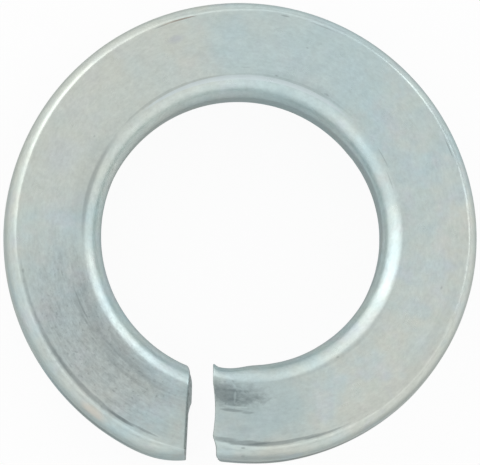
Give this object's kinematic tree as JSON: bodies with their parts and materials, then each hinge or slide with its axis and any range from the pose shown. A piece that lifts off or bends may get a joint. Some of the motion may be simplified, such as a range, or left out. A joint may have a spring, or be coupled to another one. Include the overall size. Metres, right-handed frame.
{
  "type": "spring lock washer",
  "caption": "Helical spring lock washer: one open turn of rounded steel wire with a narrow gap and two sheared ends, one raised above the other.",
  "frame": {"origin": "on the axis of the hole, level with the washer's lowest point", "axes": "+Z along the bolt towards its head, -Y towards the gap, +X from the low end towards the raised end across the gap"},
  "size_m": [0.0218, 0.0218, 0.007],
  "materials": {
    "plated_steel": "satin bright zinc plating with a faint blue-green passivation"
  },
  "bodies": {
    "root": {"washer": "plated_steel"}
  },
  "joints": []
}
